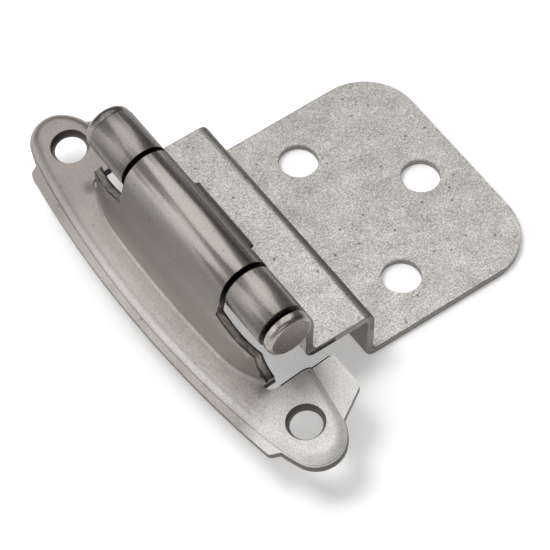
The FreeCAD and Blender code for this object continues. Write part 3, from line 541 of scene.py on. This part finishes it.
class OBJECT_OT_hinge_frame_leaf(bpy.types.Operator):
    """Gives the frame leaf its rubbed levels, its brown skirt and its satin barrel"""
    bl_idname = "object.hinge_frame_leaf"
    bl_label = "Frame leaf"

    def execute(self, context):
        finish = context.scene.hinge_finish
        # Pressed, plated, darkened and then rubbed by hand: high places shine pale, low ones stay brown
        material, tree = new_material("hand_rubbed_nickel_plated_steel")
        whole, x, y, z = millimetres(tree)
        ends = add(tree, "ShaderNodeMath", (y,), operation="ABSOLUTE")[0]
        askew = add(tree, "ShaderNodeMath", (x, RUBBED_SLOPE, y), operation="MULTIPLY_ADD")[0]
        rubbed = add(tree, "ShaderNodeMapRange", (askew, *RUBBED_FADE), interpolation_type="SMOOTHSTEP")[0]
        slant = add(tree, "ShaderNodeMath", (x, z), operation="ADD")[0]
        rolled = add(tree, "ShaderNodeMapRange", (slant, *ROLLED_FADE), interpolation_type="SMOOTHSTEP")[0]

        # Above the levels comes the skirt's brown patina with its painted light and shade, and then the satin
        # barrel with its painted highlight and shade bands
        risen = add(tree, "ShaderNodeMapRange", (z, *RISEN_FADE), interpolation_type="SMOOTHSTEP")[0]
        base = add(tree, "ShaderNodeMix", {
            SHARE: risen, FROM: self.level_colour(tree, finish, rubbed, y, z),
            TO: self.skirt_colour(tree, finish, y, z)}, **FADE)[RESULT]
        painted_bands = painted_bands_round_pin(tree, x, z, BARREL_PAINTED_BANDS)
        barrel = add(tree, "ShaderNodeMix", {
            SHARE: 1.0, FROM: opaque(finish.barrel), TO: painted_bands}, **DARKEN)[RESULT]
        base = add(tree, "ShaderNodeMix", {SHARE: rolled, FROM: base, TO: barrel}, **FADE)[RESULT]
        shade = add(tree, "ShaderNodeHueSaturation", {"Value": FRAME_SHADE, "Color": base})[0]
        depth = add(tree, "ShaderNodeMapRange", (y, *LEVEL_DEPTH_FADE))[0]
        depth = add(tree, "ShaderNodeMapRange", (z, SKIRT_FOOT, SKIRT_LOW, depth, SKIRT_DEPTH))[0]
        colour, gloss, bump = plating(tree, whole, finish, base, shade, depth)

        # Cut edges keep dark patina with painted shade; the lips get painted shade and highlight; walls and
        # the barrel's two ends get painted shade
        colour = self.with_cut_edges(tree, finish, colour, z)
        lip = self.lip_share(tree, ends, z)
        sheared = self.sheared_colour(tree, finish, whole, x, z)
        colour = add(tree, "ShaderNodeMix", {SHARE: lip, FROM: colour, TO: sheared}, **FADE)[RESULT]
        colour = self.with_outlines(tree, finish, colour, x, ends, z)
        colour = self.with_dark_walls(tree, finish, colour, x, ends, z)
        colour = self.with_dark_ends(tree, finish, colour, x, ends, z)

        rough = add(tree, "ShaderNodeMapRange", (rolled, *FRAME_ROUGH_FADE))[0]
        rough = add(tree, "ShaderNodeMath", (rough, gloss), operation="ADD")[0]
        aside = add(tree, "ShaderNodeMapRange", (x, *FLANK_FADE))[0]
        raised = add(tree, "ShaderNodeMath", (z, FLANK_LOW), operation="GREATER_THAN")[0]
        flank = add(tree, "ShaderNodeMath", (aside, raised), operation="MULTIPLY")[0]
        rough = add(tree, "ShaderNodeMath", (flank, FLANK_ROUGH, rough), operation="MULTIPLY_ADD")[0]
        metallic = add(tree, "ShaderNodeMapRange", (rubbed, *RUBBED_METALLIC_FADE))[0]
        bare = add(tree, "ShaderNodeMapRange", (flank, *FLANK_METALLIC_FADE))[0]
        metallic = add(tree, "ShaderNodeMath", (metallic, bare), operation="MULTIPLY")[0]
        surface = add(tree, "ShaderNodeBsdfPrincipled", {
            "Base Color": colour, "Metallic": metallic, "Roughness": rough, "Normal": bump})["BSDF"]
        add(tree, "ShaderNodeOutputMaterial", {"Surface": surface})
        finish_node("frame_leaf", material, finish.rounding)
        self.add_web(material)
        return {"FINISHED"}

    def level_colour(self, tree, finish, rubbed, y, z):
        """The levels' colour: from a grey patina at the far ear to rubbed bright metal at the near one."""
        far_darkening = add(tree, "ShaderNodeMapRange", (y, *FAR_EAR_FADE))[0]
        level = add(tree, "ShaderNodeMix", {
            SHARE: far_darkening, FROM: opaque(finish.plateau), TO: opaque(finish.far_ear)}, **FADE)[RESULT]
        level = add(tree, "ShaderNodeMix", {
            SHARE: rubbed, FROM: level, TO: opaque(finish.bright_ear)}, **FADE)[RESULT]

        # The sloping shoulder between the two levels is paler, partly from wear and partly painted highlight,
        # and the crease at its foot gets painted shade
        wear_and_light = add(tree, "ShaderNodeMapRange", (y, *WEAR_AND_LIGHT_FADE))[0]
        worn_and_lit = add(tree, "ShaderNodeMix", {
            SHARE: wear_and_light, FROM: level, TO: opaque(finish.bright_ear)}, **FADE)[RESULT]
        foot = add(tree, "ShaderNodeMapRange", (z, *SHOULDER_FOOT_FADE))[0]
        top = add(tree, "ShaderNodeMapRange", (z, *SHOULDER_TOP_FADE))[0]
        shoulder = add(tree, "ShaderNodeMath", (foot, top), operation="MULTIPLY")[0]
        level = add(tree, "ShaderNodeMix", {SHARE: shoulder, FROM: level, TO: worn_and_lit}, **FADE)[RESULT]
        crease_shade = add(tree, "ShaderNodeMath", (z, CREASE_Z, CREASE_HALF), operation="COMPARE")[0]
        crease_shade = add(tree, "ShaderNodeMapRange", (crease_shade, *CREASE_SHADE_FADE))[0]
        return add(tree, "ShaderNodeMix", {SHARE: 1.0, FROM: level, TO: crease_shade}, **DARKEN)[RESULT]

    def skirt_colour(self, tree, finish, y, z):
        """The skirt's brown patina, with painted light towards its near end, and painted shade towards its
        far end and under the barrel.
        """
        along = add(tree, "ShaderNodeMapRange", (y, *SKIRT_LIGHT_AND_SHADE_FADE))[0]
        under_barrel_shade = add(tree, "ShaderNodeMapRange", (z, *UNDER_BARREL_SHADE_FADE))[0]
        skirt = add(tree, "ShaderNodeMix", {
            SHARE: 1.0, FROM: opaque(finish.skirt), TO: along}, **DARKEN)[RESULT]
        return add(tree, "ShaderNodeMix", {SHARE: 1.0, FROM: skirt, TO: under_barrel_shade}, **DARKEN)[RESULT]

    def with_cut_edges(self, tree, finish, colour, z):
        """The colour with dark patina and painted shade on the sheet's outer cut edges, and none on its
        underside.
        """
        low = add(tree, "ShaderNodeMapRange", (z, *LOW_CUT_FADE))[0]
        upwards = facing(tree)[2]
        underside = add(tree, "ShaderNodeMath", (upwards, FACING_DOWN), operation="LESS_THAN")[0]
        low = add(tree, "ShaderNodeMath", (low, underside), operation="SUBTRACT", use_clamp=True)[0]
        return add(tree, "ShaderNodeMix", {
            SHARE: low, FROM: colour, TO: opaque(finish.cut_edge)}, **FADE)[RESULT]

    def lip_share(self, tree, ends, z):
        """1 on the skirt's two slanted cut faces and 0 on the skirt."""
        steep = add(tree, "ShaderNodeMath", (z, -LIP_STEEP, LIP_LOW_Y + LIP_STEEP * LIP_LOW_Z),
                    operation="MULTIPLY_ADD")[0]
        flat = add(tree, "ShaderNodeMath", (z, -LIP_FLAT, LIP_LOW_Y + LIP_FLAT * LIP_LOW_Z),
                   operation="MULTIPLY_ADD")[0]
        line = add(tree, "ShaderNodeMath", (steep, flat), operation="MINIMUM")[0]
        line = add(tree, "ShaderNodeMath", (line, BARREL_HALF), operation="MAXIMUM")[0]
        past = add(tree, "ShaderNodeMath", (ends, line), operation="SUBTRACT")[0]
        beyond = add(tree, "ShaderNodeMapRange", (past, *LIP_EDGE_FADE))[0]
        on_skirt = add(tree, "ShaderNodeMath", (z, LIP_START), operation="GREATER_THAN")[0]
        return add(tree, "ShaderNodeMath", (beyond, on_skirt), operation="MULTIPLY")[0]

    def sheared_colour(self, tree, finish, whole, x, z):
        """The lips' colour: streaked by the shear, with painted shade along both edges, darkest along the
        inner one, and near the foot, and a painted highlight between them.
        """
        low_line = add(tree, "ShaderNodeMapRange", (z, *LIP_LOW_FADE))[0]
        high_line = add(tree, "ShaderNodeMapRange", (z, *LIP_HIGH_FADE))[0]
        line = add(tree, "ShaderNodeMath", (low_line, high_line), operation="ADD")[0]
        inwards = add(tree, "ShaderNodeMath", (x, line), operation="ADD")[0]
        share = add(tree, "ShaderNodeMapRange", (inwards, *LIP_WIDTH_FADE))[0]
        across = add(tree, "ShaderNodeValToRGB", (share,), LIP_LIGHT_AND_SHADE_TONES)["Color"]
        foot = add(tree, "ShaderNodeMapRange", (z, *LIP_FOOT_SHADE_FADE))[0]
        stretched = add(tree, "ShaderNodeVectorMath", (whole, STREAK_STRETCH), operation="MULTIPLY")[0]
        streak = add(tree, "ShaderNodeTexNoise", {
            "Vector": stretched, "Scale": STREAK_SCALE, "Detail": 3.0})[0]
        streak = add(tree, "ShaderNodeMapRange", (streak, *STREAK_FADE))[0]
        colour = opaque(finish.lip)
        for factor in (across, foot, streak):
            colour = add(tree, "ShaderNodeMix", {SHARE: 1.0, FROM: colour, TO: factor}, **DARKEN)[RESULT]
        return colour

    def with_outlines(self, tree, finish, colour, x, ends, z):
        """The colour with painted shade along the lips' two borders and a painted shadow at the end of the
        cut below.
        """
        endwards = add(tree, "ShaderNodeMath", (facing(tree)[1],), operation="ABSOLUTE")[0]
        border = add(tree, "ShaderNodeMath", (endwards, BORDER_FACING, BORDER_SPREAD), operation="COMPARE")[0]
        high = add(tree, "ShaderNodeMath", (z, BORDER_LOW), operation="GREATER_THAN")[0]
        border = add(tree, "ShaderNodeMath", (border, high), operation="MULTIPLY")[0]
        colour = add(tree, "ShaderNodeMix", {
            SHARE: border, FROM: colour, TO: opaque(finish.hole)}, **FADE)[RESULT]
        flat = add(tree, "ShaderNodeCombineXYZ", (x, ends))[0]
        away = add(tree, "ShaderNodeVectorMath", (flat, CUT_END_SHADOW_PLACE), operation="DISTANCE")["Value"]
        cut_end_shadow = add(tree, "ShaderNodeMapRange", (away, *CUT_END_SHADOW_FADE), interpolation_type="SMOOTHSTEP")[0]
        return add(tree, "ShaderNodeMix", {SHARE: 1.0, FROM: colour, TO: cut_end_shadow}, **DARKEN)[RESULT]

    def with_dark_walls(self, tree, finish, colour, x, ends, z):
        """The colour with painted shade on the walls of the screw holes, and nearly black painted shade on
        those of the opening.
        """
        low = add(tree, "ShaderNodeMath", (z, LEVEL_TOP), operation="LESS_THAN")[0]
        aside = add(tree, "ShaderNodeMath", (ends, SCREW_HALF), operation="SUBTRACT")[0]
        flat = add(tree, "ShaderNodeCombineXYZ", (x, aside))[0]
        from_hole = add(tree, "ShaderNodeVectorMath", (flat,), operation="LENGTH")["Value"]
        in_hole = add(tree, "ShaderNodeMapRange", (from_hole, *HOLE_FADE))[0]
        hole = add(tree, "ShaderNodeMath", (in_hole, low), operation="MULTIPLY")[0]
        colour = add(tree, "ShaderNodeMix", {
            SHARE: hole, FROM: colour, TO: opaque(finish.hole)}, **FADE)[RESULT]

        # Painted shade: the opening's walls are the upright faces within its outline, and a dark line runs
        # along the tabs' edges
        upright = add(tree, "ShaderNodeMath", (facing(tree)[2], 0.0, UPRIGHT), operation="COMPARE")[0]
        inside = add(tree, "ShaderNodeMath", (x, NOTCH_X - NEAR_OPENING), operation="GREATER_THAN")[0]
        between = add(tree, "ShaderNodeMath", (ends, OPENING_HALF + NEAR_OPENING), operation="LESS_THAN")[0]
        wall = add(tree, "ShaderNodeMath", (upright, low), operation="MULTIPLY")[0]
        opening = add(tree, "ShaderNodeMath", (inside, between), operation="MULTIPLY")[0]
        wall = add(tree, "ShaderNodeMath", (wall, opening), operation="MULTIPLY")[0]
        tab_edge_shade = add(tree, "ShaderNodeMath", (ends, OPENING_HALF, TAB_EDGE_SHADE_HALF), operation="COMPARE")[0]
        past_notch = add(tree, "ShaderNodeMath", (x, TAB_EDGE_SHADE_START), operation="GREATER_THAN")[0]
        tab_edge_shade = add(tree, "ShaderNodeMath", (tab_edge_shade, past_notch), operation="MULTIPLY")[0]
        dark = add(tree, "ShaderNodeMath", (wall, tab_edge_shade), operation="MAXIMUM")[0]
        return add(tree, "ShaderNodeMix", {
            SHARE: dark, FROM: colour, TO: opaque(finish.gap_shade)}, **FADE)[RESULT]

    def with_dark_ends(self, tree, finish, colour, x, ends, z):
        """The colour with painted shade that makes the barrel's two end faces and its bore nearly black."""
        from_pin = distance_from_pin(tree, x, z)
        past_end = add(tree, "ShaderNodeMapRange", (ends, *BARREL_END_FADE))[0]
        near_pin = add(tree, "ShaderNodeMath", (from_pin, ROLL_REACH), operation="LESS_THAN")[0]
        end_face = add(tree, "ShaderNodeMath", (past_end, near_pin), operation="MULTIPLY")[0]
        bore = add(tree, "ShaderNodeMapRange", (from_pin, *BORE_FADE))[0]
        gap = add(tree, "ShaderNodeMath", (end_face, bore), operation="MAXIMUM")[0]
        return add(tree, "ShaderNodeMix", {
            SHARE: gap, FROM: colour, TO: opaque(finish.gap_shade)}, **FADE)[RESULT]

    def add_web(self, material):
        """The dished web that the press leaves beside the skirt's far foot, in the opening's rounded end. It
        also closes the opening there, where there is shade, and the painted shadow round the cut's end
        darkens it.
        """
        bpy.ops.object.select_all(action="DESELECT")
        bpy.ops.mesh.primitive_cylinder_add(
            vertices=40, radius=WEB_RADIUS * MM, depth=WEB_DEPTH * MM, location=Vector(WEB_PLACE) * MM)
        web = bpy.context.object
        web.name = "notch_web"
        web.scale = (WEB_NARROWING, 1, 1)
        bpy.ops.object.transform_apply(location=True, rotation=True, scale=True)
        for face in web.data.polygons:
            face.select = face.normal.z > FACING_UP
        bpy.ops.object.mode_set(mode="EDIT")
        bpy.ops.mesh.select_mode(type="FACE")
        for width, rise in WEB_STEPS:
            bpy.ops.mesh.inset(thickness=width * MM, depth=rise * MM)
        bpy.ops.object.mode_set(mode="OBJECT")
        bpy.ops.object.shade_smooth_by_angle(angle=SMOOTH_ANGLE)
        web.data.materials.append(material)
        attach(web, "frame_side")


class OBJECT_OT_hinge_pin(bpy.types.Operator):
    """Gives the pin its satin heads and its dark shank"""
    bl_idname = "object.hinge_pin"
    bl_label = "Hinge pin"

    def execute(self, context):
        finish = context.scene.hinge_finish
        # Turned and plated wire: smoother than the sheet, so it mirrors in soft bands, with cloudy tarnish
        material, tree = new_material("satin_nickel_plated_steel_pin")
        whole, x, y, z = millimetres(tree)
        tarnish = add(tree, "ShaderNodeTexNoise", {"Vector": whole, "Scale": TARNISH_SCALE, "Detail": 2.0})[0]
        tarnish = add(tree, "ShaderNodeMapRange", (tarnish, *TARNISH_FADE))[0]
        # Painted shade: the far head darker than the near one
        far = add(tree, "ShaderNodeMapRange", (y, *FAR_HEAD_SHADE_FADE))[0]
        head = add(tree, "ShaderNodeMix", {
            SHARE: 1.0, FROM: opaque(finish.head), TO: tarnish}, **DARKEN)[RESULT]
        head = add(tree, "ShaderNodeMix", {SHARE: 1.0, FROM: head, TO: far}, **DARKEN)[RESULT]
        shade = add(tree, "ShaderNodeHueSaturation", {"Value": HEAD_SHADE, "Color": head})[0]
        colour, gloss, bump = plating(tree, whole, finish, head, shade, HEAD_DEPTH)

        # The two end faces are darker, and the shank between the heads gets painted shade
        centred = add(tree, "ShaderNodeMath", (y, PIN_MIDDLE), operation="SUBTRACT")[0]
        ends = add(tree, "ShaderNodeMath", (centred,), operation="ABSOLUTE")[0]
        face = add(tree, "ShaderNodeMath", (ends, PIN_HALF - FACE_DEPTH), operation="GREATER_THAN")[0]
        dark_face = add(tree, "ShaderNodeMix", {
            SHARE: 1.0, FROM: opaque(finish.skirt), TO: FACE_TONE}, **DARKEN)[RESULT]
        colour = add(tree, "ShaderNodeMix", {SHARE: face, FROM: colour, TO: dark_face}, **FADE)[RESULT]
        shank = add(tree, "ShaderNodeMapRange", (distance_from_pin(tree, x, z), *SHANK_FADE))[0]
        inside = add(tree, "ShaderNodeMath", (ends, PIN_HALF - HEAD_LENGTH), operation="LESS_THAN")[0]
        dark = add(tree, "ShaderNodeMath", (shank, inside), operation="MULTIPLY")[0]
        colour = add(tree, "ShaderNodeMix", {
            SHARE: dark, FROM: colour, TO: opaque(finish.gap_shade)}, **FADE)[RESULT]
        rough = add(tree, "ShaderNodeMath", (gloss, HEAD_ROUGH), operation="ADD")[0]
        surface = add(tree, "ShaderNodeBsdfPrincipled", {
            "Base Color": colour, "Metallic": METALLIC, "Roughness": rough, "Normal": bump})["BSDF"]
        add(tree, "ShaderNodeOutputMaterial", {"Surface": surface})
        finish_node("hinge_pin", material, finish.rounding)
        return {"FINISHED"}


class OBJECT_OT_hinge_spring(bpy.types.Operator):
    """Gives the closing spring its dark oiled steel, and adds a dark strip of it as painted shade under the
    window
    """
    bl_idname = "object.hinge_spring"
    bl_label = "Closing spring"

    def execute(self, context):
        finish = context.scene.hinge_finish
        # Hardened in oil and left bare: nearly black, with only a dull gleam along its bends
        material, tree = new_material("oiled_blue_black_spring_steel")
        whole = millimetres(tree)[0]
        steel = opaque(finish.spring)
        shade = add(tree, "ShaderNodeHueSaturation", {"Value": SPRING_SHADE, "Color": steel})[0]
        colour, gloss, bump = plating(tree, whole, finish, steel, shade, SPRING_DEPTH)
        rough = add(tree, "ShaderNodeMath", (gloss, SPRING_ROUGH), operation="ADD")[0]
        surface = add(tree, "ShaderNodeBsdfPrincipled", {
            "Base Color": colour, "Metallic": 1.0, "Roughness": rough, "Normal": bump})["BSDF"]
        add(tree, "ShaderNodeOutputMaterial", {"Surface": surface})
        finish_node("closing_spring", material, finish.rounding / 2)
        self.add_shade_strip(material)
        return {"FINISHED"}

    def add_shade_strip(self, material):
        """A dark strip of the spring's steel, put as painted shade under the window, bent in three steps from
        beside the curled end.
        """
        bpy.ops.object.select_all(action="DESELECT")
        bpy.ops.mesh.primitive_plane_add(
            size=1, location=Vector(TAIL_START) * MM, rotation=(0, TAIL_TURN, 0))
        tail = bpy.context.object
        tail.name = "window_shade_strip"
        tail.scale = (TAIL_WIDTH * MM, TAIL_LENGTH * MM, 1)
        bpy.ops.object.transform_apply(location=True, rotation=True, scale=True)
        bpy.ops.object.mode_set(mode="EDIT")
        bpy.ops.mesh.select_all(action="SELECT")
        for step in TAIL_STEPS:
            bpy.ops.mesh.extrude_region_move(TRANSFORM_OT_translate={"value": Vector(step) * MM})
        bpy.ops.mesh.select_all(action="SELECT")
        bpy.ops.mesh.normals_make_consistent(inside=False)
        bpy.ops.object.mode_set(mode="OBJECT")
        bevel = tail.modifiers.new("tumbled_edges", "BEVEL")
        bevel.width = TAIL_ROUNDING * MM
        bevel.segments = 3
        bpy.ops.object.shade_smooth_by_angle(angle=SMOOTH_ANGLE)
        tail.data.materials.append(material)
        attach(tail, "frame_side")


class OBJECT_OT_hinge_stage(bpy.types.Operator):
    """Adds the floor, the room's dim light, the soft lamps and the camera"""
    bl_idname = "object.hinge_stage"
    bl_label = "Stage"

    def execute(self, context):
        stage = context.scene.hinge_stage
        scene = context.scene
        scene.view_settings.view_transform = "Standard"
        self.add_floor(stage)
        self.add_room(scene, stage)
        aim = Vector(AIM) * MM
        for name, towards, size, share in SOFTBOXES:
            self.add_lamp(name, aim, Vector(towards), SOFTBOX_DISTANCE, size, stage.lamp_level * share)
        name, towards, size, level = FLOOR_LAMP
        lamp = self.add_lamp(name, aim, Vector(towards), FLOOR_LAMP_DISTANCE, size, level)
        lamp.visible_glossy = False
        self.add_camera(scene, aim)
        return {"FINISHED"}

    def add_floor(self, stage):
        """A square floor under the door leaf's flat plate, which lies on it."""
        # Card pressed without a coating: an even white without any gleam, which takes soft shadows
        material, tree = new_material("matt_white_card")
        card = add(tree, "ShaderNodeBsdfDiffuse", {"Color": opaque(stage.floor_colour)})["BSDF"]
        path = add(tree, "ShaderNodeLightPath")
        mirrored = add(tree, "ShaderNodeMath", (path["Is Glossy Ray"], path["Is Transmission Ray"]),
                       operation="ADD")[0]
        seen = add(tree, "ShaderNodeMath", (path["Is Camera Ray"], mirrored), operation="ADD")[0]
        glow = add(tree, "ShaderNodeMath", (seen, stage.floor_glow), operation="MULTIPLY")[0]
        white = add(tree, "ShaderNodeEmission", {"Strength": glow})["Emission"]
        both = add(tree, "ShaderNodeAddShader", (card, white))["Shader"]
        add(tree, "ShaderNodeOutputMaterial", {"Surface": both})
        bpy.ops.object.select_all(action="DESELECT")
        bpy.ops.mesh.primitive_plane_add(
            size=stage.floor_width, location=self.lowest_edge(), rotation=(0, LEAF_TILT, 0))
        floor = bpy.context.object
        floor.name = "floor"
        floor.data.materials.append(material)

    def lowest_edge(self):
        """A point just under the door leaf's outer edge, where the plate meets the floor."""
        down = Vector((-math.sin(LEAF_TILT), 0, -math.cos(LEAF_TILT)))
        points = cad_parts["door_leaf"].data.vertices
        lowest = max((point.co for point in points), key=lambda place: place.dot(down))
        return Vector((lowest.x, 0, lowest.z)) + down * FLOOR_GAP * MM

    def add_room(self, scene, stage):
        """A plain dim room, paler on the left, which the metal mirrors between the lamps."""
        world = bpy.data.worlds.new("dim_room")
        world.use_nodes = True
        tree = world.node_tree
        tree.nodes.clear()
        towards = add(tree, "ShaderNodeTexCoord")["Generated"]
        sideways = add(tree, "ShaderNodeSeparateXYZ", (towards,))[0]
        left = add(tree, "ShaderNodeMapRange", (sideways, *ROOM_LEFT_FADE))[0]
        shade = add(tree, "ShaderNodeMix", {
            SHARE: left, FROM: opaque(stage.room), TO: opaque(stage.room_left)}, **FADE)[RESULT]
        light = add(tree, "ShaderNodeBackground", {"Color": shade, "Strength": 1.0})["Background"]
        add(tree, "ShaderNodeOutputWorld", {"Surface": light})
        scene.world = world

    def add_lamp(self, name, aim, towards, distance, size, level):
        """A soft rectangular lamp of the brightness given, where 1 is white, that faces the hinge."""
        bpy.ops.object.select_all(action="DESELECT")
        bpy.ops.object.light_add(type="AREA", location=aim + towards.normalized() * distance)
        lamp = bpy.context.object
        lamp.name = name
        lamp.rotation_euler = towards.to_track_quat("Z", "Y").to_euler()
        lamp.data.shape = "RECTANGLE"
        lamp.data.size, lamp.data.size_y = size
        lamp.data.energy = level * math.pi * size[0] * size[1]
        return lamp

    def add_camera(self, scene, aim):
        """The camera at the photograph's viewing angle."""
        back = Vector((math.sin(AZIMUTH) * math.cos(ELEVATION),
                       -math.cos(AZIMUTH) * math.cos(ELEVATION), math.sin(ELEVATION)))
        level = Vector((0, 0, 1)).cross(back).normalized()
        steep = back.cross(level)
        right = level * math.cos(ROLL) + steep * math.sin(ROLL)
        up = back.cross(right)
        bpy.ops.object.select_all(action="DESELECT")
        bpy.ops.object.camera_add()
        camera = bpy.context.object
        camera.name = "photo_camera"
        camera.matrix_world = Matrix((right, up, back)).transposed().to_4x4()
        camera.location = aim + back * CAMERA_DISTANCE
        camera.data.sensor_width = SENSOR
        camera.data.lens = LENS
        scene.camera = camera


class VIEW3D_PT_hinge(bpy.types.Panel):
    bl_label = "Hinge"
    bl_category = "Hinge"
    bl_space_type = "VIEW_3D"
    bl_region_type = "UI"

    def draw(self, context):
        for operator in OPERATORS:
            self.layout.operator(operator.bl_idname)
        for settings in (context.scene.hinge_finish, context.scene.hinge_stage):
            for name in settings.__annotations__:
                self.layout.prop(settings, name)


OPERATORS = (OBJECT_OT_hinge_door_leaf, OBJECT_OT_hinge_frame_leaf, OBJECT_OT_hinge_pin,
             OBJECT_OT_hinge_spring, OBJECT_OT_hinge_stage)
SETTINGS = (HingeFinish, HingeStage)


def register():
    for item in (*SETTINGS, *OPERATORS, VIEW3D_PT_hinge):
        bpy.utils.register_class(item)
    bpy.types.Scene.hinge_finish = bpy.props.PointerProperty(type=HingeFinish)
    bpy.types.Scene.hinge_stage = bpy.props.PointerProperty(type=HingeStage)


def unregister():
    del bpy.types.Scene.hinge_stage
    del bpy.types.Scene.hinge_finish
    for item in (VIEW3D_PT_hinge, *reversed(OPERATORS), *reversed(SETTINGS)):
        bpy.utils.unregister_class(item)


def main():
    """Runs every operator."""
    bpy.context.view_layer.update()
    register()
    bpy.ops.object.hinge_door_leaf()
    bpy.ops.object.hinge_frame_leaf()
    bpy.ops.object.hinge_pin()
    bpy.ops.object.hinge_spring()
    bpy.ops.object.hinge_stage()


if __name__ == "__main__":
    main()
